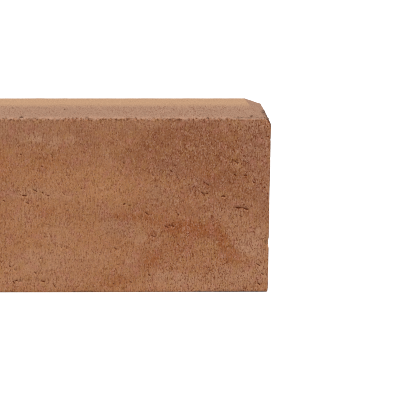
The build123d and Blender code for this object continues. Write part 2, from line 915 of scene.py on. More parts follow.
        # Painted shade along the foot of the front.
        colour = sketch.blend(self.broken_up(sketch, "foot", uneven, 0.5), colour, self.foot_shade)
        # Painted shade on the right end's front arris, the steep slope and the scoops of the worn corner.
        right_end_shade = sketch.math("MULTIPLY", self.broken_up(sketch, "right_end_shade", uneven, 0.6), self.right_end_shade_most)
        colour = sketch.blend(right_end_shade, colour, self.right_end_shade)
        # Dirt and painted shade in the pits, by their depth.
        breaks = sketch.mottle(place, self.pit_darkening_breaks)
        cavity_mm = sketch.attribute("cavity")
        pit_dirt_and_shade = sketch.ramp(cavity_mm, self.pit_darkening_from_mm, self.pit_darkening_full_mm, 0.0, self.pit_darkening_most)
        tone = sketch.blend(sketch.attribute("on_bevel"), self.pit_dirt_and_shade, self.grey_pit_dirt_and_shade)
        return sketch.blend(sketch.math("MULTIPLY", pit_dirt_and_shade, breaks), colour, tone)

    @staticmethod
    def broken_up(sketch: NodeSketch, name: str, uneven: Socket, swing: float) -> Socket:
        """Reads a share from the mesh, and takes up to swing of it away.

        Args:
            sketch: The node tree.
            name: The name of the mesh attribute.
            uneven: The socket of the noise that says where the share stays whole.
            swing: The largest part that is taken away.

        Returns:
            The socket of the share that is left.
        """
        share = sketch.attribute(name)
        return sketch.math("MULTIPLY", share, sketch.math("MULTIPLY_ADD", uneven, swing, 1 - swing))

    def grain_height(self, sketch: NodeSketch, place: Socket, rough_cast: Socket) -> Socket:
        """Gives the height of the grain that is finer than the mesh.

        Args:
            sketch: The node tree.
            place: The socket of the place on the kerb.
            rough_cast: The socket that is 1 on the rough sides.

        Returns:
            The socket of the height, where 1 is the bump's whole distance.
        """
        sand = sketch.noise(sketch.vector("MULTIPLY", place, self.sand_shape), self.sand_scale, 2, 0.7)
        drawn = sketch.vector("MULTIPLY", place, self.furrow_shape)
        furrows = sketch.noise(drawn, self.furrow_scale, 1)
        height = sketch.math("MULTIPLY_ADD", furrows, self.furrow_height, sand)
        cells = sketch.add("ShaderNodeTexVoronoi", {"Vector": place, "Scale": self.pore_scale})
        pores = sketch.ramp(cells.outputs["Distance"], 0.0, self.pore_radius)
        height = sketch.math("MULTIPLY_ADD", pores, self.pore_height, height)
        by_side = sketch.ramp(rough_cast, 0.0, 1.0, self.smooth_side_height, 1.0)
        return sketch.math("MULTIPLY", height, by_side)


@dataclass
class Kerb:
    """The kerb's skin, as one closed mesh that stands for the CAD node.

    A period is the cell size of the noise that roughens a shape, and a fade is how a share of colour or
    painted shade ends. Foot shade spans are the stretches along the foot where the painted shade is full, by
    where they start and end across.
    """

    size: KerbSize
    finish: CastConcrete
    view: PhotoView
    marks: tuple[Mark, ...]
    node: str = "kerb"
    body: str = "root"
    slot: str = "concrete"
    pitch: float = 1.05 * MM
    fine_pitch: float = 0.7 * MM
    fine_band: float = 8 * MM
    bevel_rows: int = 14
    arris_radius: float = 1.3 * MM
    radius_period: float = 18 * MM
    ragged_period: float = 7 * MM
    ragged_level: float = 0.42
    chip_period: float = 3 * MM
    chip_least: float = 0.82
    chip_swing: float = 0.36
    lump_period: float = 7 * MM
    lump_mm: float = 0.24
    shake_period: float = 2.2 * MM
    shake_reach: float = 0.9 * MM
    rough_skin: float = 1.5 * MM
    smooth_share: float = 0.45
    pit_stretch: float = 0.6 * MM
    pit_margin: float = 1 * MM
    strip_period: float = 5 * MM
    rim_fade: Fade = Fade(1.5, 0.9 * MM)
    crumble_fade: Fade = Fade(1.5, 1.2 * MM)
    foot_fade: Fade = Fade(1.7, 1.1 * MM)
    end_fade: Fade = Fade(1.7, 0.9 * MM)
    slope_fade: Fade = Fade(1.6, 1.2 * MM)
    slope_reach: Fade = Fade(1.4, 16 * MM)
    foot_row: float = 291.0
    foot_shade_spans: tuple[tuple[float, float], ...] = ((72, 93), (195, 268))
    foot_elsewhere: float = 0.22
    triangles: int = 196_000
    seed: int = 2127

    def __post_init__(self) -> None:
        """Makes the sources of noise and of random numbers."""
        self.rng = np.random.default_rng(self.seed)
        self.grit = Grit(self.seed + 1)
        self.lumps = Grit(self.seed + 2)

    def build(self) -> bpy.types.Object:
        """Builds and dresses the skin.

        Returns:
            The finished piece.
        """
        points, quads = self.lattice()
        LOG.info("lattice: %d points", len(points))
        points = self.round_arrises(points)
        for facet in self.size.breaks():
            points = self.knock_off(points, facet)
        for chip in self.named_chips() + self.random_chips():
            points = self.carve(points, chip)
        LOG.info("arrises chipped")
        points, cavity = self.sink_relief(points, quads)
        LOG.info("relief sunk")
        piece = self.thin_out(self.to_object("kerb_block", points, quads, cavity))
        LOG.info("thinned")
        self.mark_faces(piece)
        piece.data.materials.append(self.finish.material())
        piece.data.shade_smooth()
        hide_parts(self.node)
        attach(piece, self.body)
        return piece

    def graded(self, low: float, high: float) -> np.ndarray:
        """Spaces lattice lines from low to high, closer together near both ends.

        Args:
            low: The first line.
            high: The last line.

        Returns:
            The places of the lines.
        """
        fine = round(self.fine_band / self.fine_pitch)
        middle = round((high - low - 2 * self.fine_band) / self.pitch)
        first = np.linspace(low, low + self.fine_band, fine, endpoint=False)
        second = np.linspace(low + self.fine_band, high - self.fine_band, middle, endpoint=False)
        third = np.linspace(high - self.fine_band, high, fine + 1)
        return np.concatenate([first, second, third])

    def lattice(self) -> tuple[np.ndarray, np.ndarray]:
        """Makes the skin of the sharp block: a box lattice's surface, with its top front corner pushed in.

        Returns:
            The points, one a row, and the quads, four point numbers a row.
        """
        low, high, bevel = self.size.low, self.size.high, self.size.bevel
        xs = self.graded(low.x, high.x)
        corner_ys = np.linspace(low.y, low.y + bevel, self.bevel_rows, endpoint=False)
        corner_zs = np.linspace(high.z - bevel, high.z, self.bevel_rows + 1)[1:]
        ys = np.concatenate([corner_ys, self.graded(low.y + bevel, high.y)])
        zs = np.concatenate([self.graded(low.z, high.z - bevel), corner_zs])
        on_skin = np.zeros((len(xs), len(ys), len(zs)), bool)
        on_skin[[0, -1]] = True
        on_skin[:, [0, -1]] = True
        on_skin[:, :, [0, -1]] = True
        number = np.full(on_skin.shape, -1, np.int32)
        number[on_skin] = np.arange(on_skin.sum())
        i, j, k = np.nonzero(on_skin)
        points = np.stack([xs[i], ys[j], zs[k]], axis=1)
        grids = (
            (number[-1], False),
            (number[0], True),
            (number[:, 0], False),
            (number[:, -1], True),
            (number[:, :, -1], False),
            (number[:, :, 0], True),
        )
        quads = np.concatenate([self.quads_of(grid, flip) for grid, flip in grids])
        return self.push_in_bevel(points), quads

    @staticmethod
    def quads_of(grid: np.ndarray, flip: bool) -> np.ndarray:
        """Lists the quads of one side.

        Args:
            grid: The point numbers of the side, row by row.
            flip: Whether the quads turn the other way round, to face outwards.

        Returns:
            Four point numbers a row.
        """
        corners = [grid[:-1, :-1], grid[1:, :-1], grid[1:, 1:], grid[:-1, 1:]]
        quads = np.stack(corners, axis=-1).reshape(-1, 4)
        return quads[:, ::-1] if flip else quads

    def push_in_bevel(self, points: np.ndarray) -> np.ndarray:
        """Moves the box's top front corner back to the middle of the bevel, and all round it in proportion.

        Args:
            points: The points of the box lattice.

        Returns:
            The points of the bevelled block.
        """
        bevel = self.size.bevel
        u = (points[:, 1] - self.size.low.y) / bevel
        v = (self.size.high.z - points[:, 2]) / bevel
        near = (u < 1) & (v < 1)
        push = 0.5 * bevel * (1 - u[near]) * (1 - v[near])
        moved = points.copy()
        moved[near, 1] += push
        moved[near, 2] -= push
        return moved

    def round_arrises(self, points: np.ndarray) -> np.ndarray:
        """Rounds the square arrises by a radius that wanders along them.

        Args:
            points: The points of the sharp block.

        Returns:
            The points of the rounded block.
        """
        radius = self.arris_radius * (0.5 + self.lumps.layers(points, self.radius_period, 3))
        past = {side: np.maximum(radius - self.size.depth_below(points, side), 0) for side in Side}
        by_bevel = past[Side.BEVEL] >= np.maximum(past[Side.FRONT], past[Side.TOP])
        past[Side.BEVEL] *= by_bevel
        past[Side.FRONT] *= ~by_bevel
        past[Side.TOP] *= ~by_bevel
        reach = sum(past[side][:, None] * np.array(side.value) for side in Side)
        length = np.maximum(np.linalg.norm(reach, axis=1), 1e-9)
        return points - reach * np.maximum(1 - radius / length, 0)[:, None]

    def knock_off(self, points: np.ndarray, facet: Facet) -> np.ndarray:
        """Knocks off what stands past a break, and leaves its surface ragged.

        Args:
            points: The points of the block.
            facet: The break.

        Returns:
            The points of the broken block.
        """
        past = -facet.depth_below(points)
        near = past > -facet.ragged
        past[near] += facet.ragged * (
            self.grit.layers(points[near], self.ragged_period, 4) - self.ragged_level
        )
        facing = np.array(Vector(facet.facing).normalized())
        return points - np.maximum(past, 0)[:, None] * facing

    def carve(self, points: np.ndarray, chip: Chip) -> np.ndarray:
        """Scoops one chip out of the block.

        Args:
            points: The points of the skin. They are changed in place.
            chip: The chip.

        Returns:
            The same points.
        """
        centre, radii = np.array(chip.centre), np.array(chip.radii)
        near = np.flatnonzero(np.abs(points[:, 0] - centre[0]) < radii[0])
        near = near[np.abs(points[near, 2] - centre[2]) < radii[2]]
        local = (points[near] - centre) / radii
        length = np.linalg.norm(local, axis=1)
        grain = self.grit.layers(points[near], self.chip_period, 2)
        ragged = self.chip_least + self.chip_swing * grain
        inside = length < ragged
        scale = (ragged[inside] / np.maximum(length[inside], 1e-6))[:, None]
        points[near[inside]] = centre + local[inside] * scale * radii
        return points

    def on_right_arris(self, height: float, half_height: float, bite: float, spread: float) -> Chip:
        """Makes a chip on the upright arris at the right end of the front.

        Args:
            height: How high the chip's middle is above the base.
            half_height: Half of its height.
            bite: How far it reaches in from the arris along the front face.
            spread: Its half width.

        Returns:
            The chip.
        """
        centre = (self.size.high.x + spread - bite, self.size.low.y - 0.3 * spread, self.size.low.z + height)
        return Chip(centre, (spread, 1.3 * spread, half_height))

    def named_chips(self) -> list[Chip]:
        """Lists the chips that the photograph shows.

        Returns:
            Those of the right end's upright arris, then those where the bevel ends.
        """
        upright = [
            self.on_right_arris(67 * MM, 8 * MM, 5.6 * MM, 8 * MM),
            self.on_right_arris(111 * MM, 3 * MM, 1.9 * MM, 4 * MM),
            self.on_right_arris(180.5 * MM, 2.8 * MM, 2.6 * MM, 4 * MM),
            self.on_right_arris(206 * MM, 2.4 * MM, 2.5 * MM, 4 * MM),
            self.on_right_arris(230 * MM, 7 * MM, 1.8 * MM, 5 * MM),
            self.on_right_arris(128 * MM, 32 * MM, 1.7 * MM, 5 * MM),
            self.on_right_arris(1 * MM, 5 * MM, 3.2 * MM, 6 * MM),
        ]
        return [*upright, *self.bevel_end_chips(), self.arris_end_chip()]

    def arris_end_chip(self) -> Chip:
        """Makes the long, shallow chip along the right end of the arris between the bevel and the front."""
        x, y, z = self.size.high.x, self.size.low.y, self.size.high.z - self.size.bevel
        return Chip((x - 24 * MM, y - 3 * MM, z + 1.2 * MM), (44 * MM, 5 * MM, 3 * MM))

    def bevel_end_chips(self) -> list[Chip]:
        """Lists the two scoops where the bevel meets the worn corner.

        Returns:
            The lower and the upper scoop.
        """
        x, y, z = self.size.high.x, self.size.low.y, self.size.high.z
        places = ((3.5 * MM, 8.5 * MM, 9 * MM), (10 * MM, 4 * MM, 10.2 * MM))
        return [Chip((x, y + back, z - down), (radius, radius, radius)) for back, down, radius in places]

    def arrises(self) -> list[Arris]:
        """Lists the arrises that crumble, and how much each does.

        Returns:
            The five along the kerb, then the four of the left end and of the right end.
        """
        low, high, bevel = self.size.low, self.size.high, self.size.bevel
        shoulder = high.z - bevel
        crest = low.y + bevel
        small, ragged, chipped = (0.2 * MM, 0.9 * MM), (0.4 * MM, 2.4 * MM), (0.2 * MM, 1.2 * MM)
        long_arrises = (
            (low.y, shoulder, (0, -0.92, 0.38), 230, (2.2 * MM, 6.5 * MM), ragged),
            (crest, high.z, (0, -0.38, 0.92), 60, (4 * MM, 16 * MM), (0.15 * MM, 0.5 * MM)),
            (high.y, high.z, (0, 1, 1), 50, (4 * MM, 14 * MM), small),
            (low.y, low.z, (0, -1, -1), 120, (3 * MM, 12 * MM), (0.2 * MM, 1.3 * MM)),
            (high.y, low.z, (0, 1, -1), 60, (3 * MM, 12 * MM), small),
        )
        made = [
            Arris((low.x, y, z), (high.x, y, z), outward, count, length, bite)
            for y, z, outward, count, length, bite in long_arrises
        ]
        for x, out in ((low.x, -1), (high.x, 1)):
            ends = (
                ((x, low.y, low.z), (x, low.y, shoulder), (out, -1, 0), 210, (2 * MM, 6 * MM), chipped),
                ((x, high.y, low.z), (x, high.y, high.z), (out, 1, 0), 90, (3 * MM, 10 * MM), small),
                ((x, crest, high.z), (x, high.y, high.z), (out, 0, 1), 90, (3 * MM, 9 * MM), small),
                ((x, low.y, low.z), (x, high.y, low.z), (out, 0, -1), 80, (3 * MM, 9 * MM), small),
            )
            made += [Arris(*values) for values in ends]
        return made

    def random_chips(self) -> list[Chip]:
        """Draws the small chips of every arris."""
        return [chip for arris in self.arrises() for chip in arris.chips(self.rng)]

    def random_hollows(self) -> list[Hollow]:
        """Draws the pits of every side.

        Returns:
            The pits, as short grooves that lie mostly level.
        """
        low, high = self.size.low, self.size.high
        coarse = Pitting(300, (0.5 * MM, 0.85 * MM), (0.3 * MM, 0.9 * MM))
        sparse = Pitting(160, (0.6 * MM, 1.0 * MM), (0.3 * MM, 0.8 * MM))
        pitting = {
            Side.FRONT: coarse,
            Side.BACK: sparse,
            Side.TOP: sparse,
            Side.BASE: sparse,
            Side.LEFT_END: sparse,
            Side.RIGHT_END: sparse,
        }
        mostly_level = (1.0, 1.0, 0.45)
        made = []
        for side, kind in pitting.items():
            normal = np.array(side.value)
            flat = 1 - np.abs(normal)
            span = (np.array(high) - np.array(low)) * flat
            area = np.prod(span[flat > 0.5])
            for _ in range(round(kind.per_square_metre * area)):
                spot = np.array(low) + span * self.rng.random(3)
                spot = np.where(flat > 0.5, spot, np.where(normal > 0, np.array(high), np.array(low)))
                swing = self.rng.normal(size=3) * flat * mostly_level
                stretch = swing / np.linalg.norm(swing) * self.rng.exponential(self.pit_stretch)
                radius = self.rng.uniform(*kind.radius)
                depth = self.rng.uniform(*kind.depth)
                made.append(Hollow(tuple(spot - stretch), tuple(spot + stretch), radius, depth))
        return made

    def sink_relief(self, points: np.ndarray, quads: np.ndarray) -> tuple[np.ndarray, np.ndarray]:
        """Sinks the lumps, pits and tears into the skin.

        Args:
            points: The points of the chipped block.
            quads: Its quads.

        Returns:
            The points of the finished skin, and for each point how deep a pit or tear is there.
        """
        normals = self.normals(points, quads)
        lumps = self.lumps.layers(points, self.lump_period, 3)
        sink = self.roughness_at(points) * self.lump_mm * MM * lumps
        shake = np.stack([self.grit.at(points + i, self.shake_period) for i in range(3)], axis=1) - 0.5
        shaken = points + self.shake_reach * shake
        order = np.argsort(points[:, 0])
        along = points[order, 0]
        deepest = np.zeros(len(points))
        named = [mark.hollow(self.view, self.size) for mark in self.marks]
        for hollow in named + self.random_hollows():
            start, end = np.array(hollow.start), np.array(hollow.end)
            reach = hollow.radius + self.pit_margin
            span = [min(start[0], end[0]) - reach, max(start[0], end[0]) + reach]
            first, last = np.searchsorted(along, span)
            near = order[first:last]
            axis = end - start
            share = np.clip((shaken[near] - start) @ axis / max(axis @ axis, 1e-12), 0, 1)
            gap = np.linalg.norm(shaken[near] - start - share[:, None] * axis, axis=1) / hollow.radius
            dip = hollow.depth * np.sqrt(np.maximum(1 - gap * gap, 0))
            deepest[near] = np.maximum(deepest[near], dip)
        sunk = points - normals * (sink + deepest)[:, None]
        return np.clip(sunk, np.array(self.size.low), np.array(self.size.high)), deepest

    def roughness_at(self, points: np.ndarray) -> np.ndarray:
        """Gives how rough the cast is: 1 on the front and back, less on the bevel, top, base and ends.

        Args:
            points: One point a row.

        Returns:
            One value for each point.
        """
        front, back = (self.size.depth_below(points, side) for side in (Side.FRONT, Side.BACK))
        return np.where(np.minimum(front, back) < self.rough_skin, 1.0, self.smooth_share)

    @staticmethod
    def normals(points: np.ndarray, quads: np.ndarray) -> np.ndarray:
        """Works out a normal for each point from the quads round it.

        Args:
            points: One point a row.
            quads: Four point numbers a row.

        Returns:
            One unit vector a row.
        """
        a, b, c, d = (points[quads[:, i]] for i in range(4))
        facing = np.cross(c - a, d - b)
        total = np.zeros_like(points)
        for i in range(4):
            for axis in range(3):
                total[:, axis] += np.bincount(quads[:, i], facing[:, axis], len(points))
        return total / np.maximum(np.linalg.norm(total, axis=1), 1e-15)[:, None]

    @staticmethod
    def to_object(name: str, points: np.ndarray, quads: np.ndarray, cavity: np.ndarray) -> bpy.types.Object:
        """Makes a Blender object of the skin.

        Args:
            name: The object's name.
            points: One point a row.
            quads: Four point numbers a row.
            cavity: How deep a pit or tear is at each point. The mesh holds it in millimetres.

        Returns:
            The object, linked to the scene.
        """
        mesh = bpy.data.meshes.new(name)
        mesh.vertices.add(len(points))
        mesh.vertices.foreach_set("co", points.astype(np.float32).ravel())
        mesh.loops.add(quads.size)
        mesh.loops.foreach_set("vertex_index", quads.astype(np.int32).ravel())
        mesh.polygons.add(len(quads))
        mesh.polygons.foreach_set("loop_start", np.arange(0, quads.size, 4, dtype=np.int32))
        mesh.update(calc_edges=True)
        layer = mesh.attributes.new("cavity", "FLOAT", "POINT")
        layer.data.foreach_set("value", (cavity / MM).astype(np.float32))
        piece = bpy.data.objects.new(name, mesh)
        bpy.context.scene.collection.objects.link(piece)
        return piece

    def thin_out(self, piece: bpy.types.Object) -> bpy.types.Object:
        """Takes out the vertices that the relief doesn't need.

        Args:
            piece: The dense skin.

        Returns:
            The same piece, with a lighter mesh.
        """
        fewer = piece.modifiers.new("fewer", "DECIMATE")
        fewer.ratio = self.triangles / (2 * len(piece.data.polygons))
        dense = piece.data
        graph = bpy.context.evaluated_depsgraph_get()
        ready = piece.evaluated_get(graph)
        piece.data = bpy.data.meshes.new_from_object(ready, preserve_all_data_layers=True, depsgraph=graph)
        piece.modifiers.clear()
        bpy.data.meshes.remove(dense)
        piece.data.name = piece.name
        return piece

    @staticmethod
    def reach_from(points: np.ndarray, chip: Chip) -> np.ndarray:
        """Gives how far points are from a chip's middle, where about 1 is on its surface.

        Args:
            points: One point a row.
            chip: The chip.

        Returns:
            One value for each point.
        """
        return np.linalg.norm((points - chip.centre) / chip.radii, axis=1)

    def mark_faces(self, piece: bpy.types.Object) -> None:
        """Brings stray vertices back into the CAD box, and writes the shares for the finish on each vertex.

        Args:
            piece: The thinned piece.
        """
        mesh = piece.data
        flat = np.zeros(len(mesh.vertices) * 3, np.float32)
        mesh.vertices.foreach_get("co", flat)
        low, high = np.array(self.size.low), np.array(self.size.high)
        points = np.clip(flat.reshape(-1, 3).astype(float), low, high)
        mesh.vertices.foreach_set("co", points.astype(np.float32).ravel())
        for name, shares in self.shares_at(points).items():
            layer = mesh.attributes.new(name, "FLOAT", "POINT")
            layer.data.foreach_set("value", shares.astype(np.float32))

    def shares_at(self, points: np.ndarray) -> dict[str, np.ndarray]:
        """Works out which side each point belongs to, how crumbled it is, and how much painted shade it
        gets.

        The chips in the front arris are as dark as the front, so they count as it. The long, shallow chip at
        the arris's right end is as pale as the bevel, and counts as that. So does a ragged strip under it.

        Args:
            points: One point a row.

        Returns:
            One share for each point, under the name of its mesh attribute.
        """
        arris_band, chip_floor, chip_rim = 1.6 * MM, 0.5 * MM, 1.22
        strip_foot, strip_least_mm, strip_swing_mm = 1.2 * MM, 0.1, 9
        bevel_fade, top_fade = 22 * MM, 2.4 * MM
        depth = {side: self.size.depth_below(points, side) for side in Side}
        gentle, steep, arris = (facet.depth_below(points) for facet in self.size.breaks())
        nearest = np.argmin(np.stack([*depth.values(), gentle, steep], axis=1), axis=1)
        on = {side: nearest == number for number, side in enumerate(Side)}
        shoulder = self.size.high.z - self.size.bevel
        wander = np.maximum(self.grit.layers(points, self.strip_period, 2) - self.ragged_level, 0)
        near_arris = arris < arris_band
        pale_chip = self.reach_from(points, self.arris_end_chip()) < chip_rim
        deep = np.minimum(depth[Side.FRONT], depth[Side.BEVEL]) > chip_floor
        chipped = near_arris & deep & ~pale_chip
        strip = near_arris & (depth[Side.FRONT] > (strip_least_mm + strip_swing_mm * wander) * MM)
        strip = (strip | pale_chip) & (points[:, 2] > shoulder - strip_foot)
        bevel = (on[Side.BEVEL] | strip | (nearest >= len(Side))) & ~chipped
        front = (on[Side.FRONT] & ~strip) | chipped
        tan_share = np.clip(0.5 + depth[Side.BEVEL] / bevel_fade - depth[Side.TOP] / top_fade, 0, 1)
        top = (on[Side.TOP] | on[Side.BEVEL]) * tan_share
        return {
            "on_bevel": bevel | ((top > 0) & (top < 1)),
            "on_top": top,
            "on_end": on[Side.LEFT_END] | on[Side.RIGHT_END],
            "rough_cast": front | on[Side.BACK],
            # Partly wear, partly a painted highlight on the bevel's lip.
            "rim": bevel * self.rim_fade.at(arris),
            "crumble": np.maximum(front * self.crumble_fade.at(arris), chipped),
            # Painted shade along the foot.
            "foot": front * self.foot_shade_strength(points) * self.foot_fade.at(depth[Side.BASE]),
            # Painted shade at the right end and the worn corner.
            "right_end_shade": self.right_end_shade_at(points, depth, gentle, steep),
        }

    def foot_shade_strength(self, points: np.ndarray) -> np.ndarray:
        """Gives how strong the painted shade along the foot of the front is at each point's place along the
        kerb.

        Args:
            points: One point a row.

        Returns:
            One share for each point.
        """
        shade_share = np.full(len(points), self.foot_elsewhere)
        for ends in self.foot_shade_spans:
            start, end = (self.view.on_front(across, self.foot_row, self.size.low.y).x for across in ends)
            shade_share[(points[:, 0] > start) & (points[:, 0] < end)] = 1.0
        return shade_share

    def right_end_shade_at(
        self, points: np.ndarray, depth: dict[Side, np.ndarray], gentle: np.ndarray, steep: np.ndarray
    ) -> np.ndarray:
        """Gives how much painted shade the right end's front arris, the steep slope and the two scoops get.

        Args:
            points: One point a row.
            depth: How deep each point lies below each side.
            gentle: How deep it lies below the gentle slope of the worn corner.
            steep: How deep it lies below the steep slope.

        Returns:
            One share for each point.
        """
        edge_width, dark_height, low_edge_share = 5 * MM, 12 * MM, 0.4
        lower_rim, lower_share = 1.2, 0.25
        upper_rim, upper_softness, upper_share = 1.26, 0.1, 0.9
        shoulder = self.size.high.z - self.size.bevel
        edge = (depth[Side.FRONT] < edge_width) * self.end_fade.at(depth[Side.RIGHT_END])
        edge *= np.where(points[:, 2] > shoulder - dark_height, 1.0, low_edge_share)
        slope = (steep < gentle) * self.slope_fade.at(steep)
        slope *= self.slope_reach.at(depth[Side.FRONT])
        lower, upper = (self.reach_from(points, chip) for chip in self.bevel_end_chips())
        lower_scoop = lower_share * (lower < lower_rim)
        upper_scoop = np.clip((upper_rim - upper) / upper_softness, 0, upper_share)
        return np.maximum.reduce([edge, slope, lower_scoop, upper_scoop])


@dataclass(frozen=True)
class PaleFloor:
    """A matt white floor that fades to plain white for the camera and keeps the kerb's shadow."""

    shade: float = 0.72
    fill: float = 0.30

    def material(self) -> bpy.types.Material:
        """Builds the material.

        Returns:
            The finished material.
        """
        sketch = NodeSketch("pale_floor")
        matt = sketch.add("ShaderNodeBsdfDiffuse", {"Color": (self.shade, self.shade, self.shade, 1.0)})
        path = sketch.add("ShaderNodeLightPath")
        seen = sketch.math("ADD", path.outputs["Is Camera Ray"], path.outputs["Is Glossy Ray"])
        seen = sketch.math("ADD", seen, path.outputs["Is Transmission Ray"])
        glow = sketch.add("ShaderNodeEmission", {"Strength": sketch.math("MULTIPLY", seen, self.fill)})
        both = sketch.add("ShaderNodeAddShader", {0: matt.outputs["BSDF"], 1: glow.outputs["Emission"]})
        return sketch.finish(both.outputs["Shader"])


@dataclass(frozen=True)
class Studio:
    """The pale floor, a soft lamp high in front of the kerb, and an even white sky."""

    floor_radius: float = 60.0
    floor_drop: float = 0.05 * MM
    floor_sides: int = 96
    finish: PaleFloor = PaleFloor()
    lamp_height: float = 68.0
    lamp_side: float = -20.0
    lamp_spread: float = 30.0
    lamp_strength: float = 3.0
    lamp_distance: float = 3.0
    sky: float = 0.40

    def build(self) -> None:
        """Builds the floor, the lamp and the sky."""
        self.build_floor()
        self.build_lamp()
        self.build_sky()

    def build_floor(self) -> None:
        """Lays a wide round floor under the kerb."""
        turns = [2 * math.pi * i / self.floor_sides for i in range(self.floor_sides)]
        reach, level = self.floor_radius, -self.floor_drop
        rim = [(reach * math.cos(turn), reach * math.sin(turn), level) for turn in turns]
        mesh = bpy.data.meshes.new("floor")
        mesh.from_pydata(rim, [], [list(range(self.floor_sides))])
        mesh.materials.append(self.finish.material())
        floor = bpy.data.objects.new("floor", mesh)
        bpy.context.scene.collection.objects.link(floor)

    def build_lamp(self) -> None:
        """Hangs the soft lamp, which shines down onto the front and the top."""
        light = bpy.data.lights.new("overhead_lamp", "SUN")
        light.energy = self.lamp_strength
        light.angle = math.radians(self.lamp_spread)
        lamp = bpy.data.objects.new("overhead_lamp", light)
        side, height = math.radians(self.lamp_side), math.radians(self.lamp_height)
        source = Vector(
            (-math.sin(side) * math.cos(height), -math.cos(side) * math.cos(height), math.sin(height))
        )
        lamp.rotation_mode = "QUATERNION"
        lamp.rotation_quaternion = source.to_track_quat("Z", "Y")
        lamp.location = source * self.lamp_distance
        bpy.context.scene.collection.objects.link(lamp)

    def build_sky(self) -> None:
        """Makes the sky plain white to the camera and a dimmer white to the kerb."""
        world = bpy.data.worlds.new("sky")
        world.use_nodes = True
        tree = world.node_tree
        tree.nodes.clear()
        path = tree.nodes.new("ShaderNodeLightPath")
        seen = tree.nodes.new("ShaderNodeMath")
        seen.operation = "MAXIMUM"
        seen_too = tree.nodes.new("ShaderNodeMath")
        seen_too.operation = "MAXIMUM"
        strength = tree.nodes.new("ShaderNodeMapRange")
        strength.inputs["To Min"].default_value = self.sky
        background = tree.nodes.new("ShaderNodeBackground")
        output = tree.nodes.new("ShaderNodeOutputWorld")
        tree.links.new(path.outputs["Is Camera Ray"], seen.inputs[0])
        tree.links.new(path.outputs["Is Glossy Ray"], seen.inputs[1])
        tree.links.new(seen.outputs[0], seen_too.inputs[0])
        tree.links.new(path.outputs["Is Transmission Ray"], seen_too.inputs[1])
        tree.links.new(seen_too.outputs[0], strength.inputs["Value"])
        tree.links.new(strength.outputs["Result"], background.inputs["Strength"])
        tree.links.new(background.outputs["Background"], output.inputs["Surface"])
        bpy.context.scene.world = world


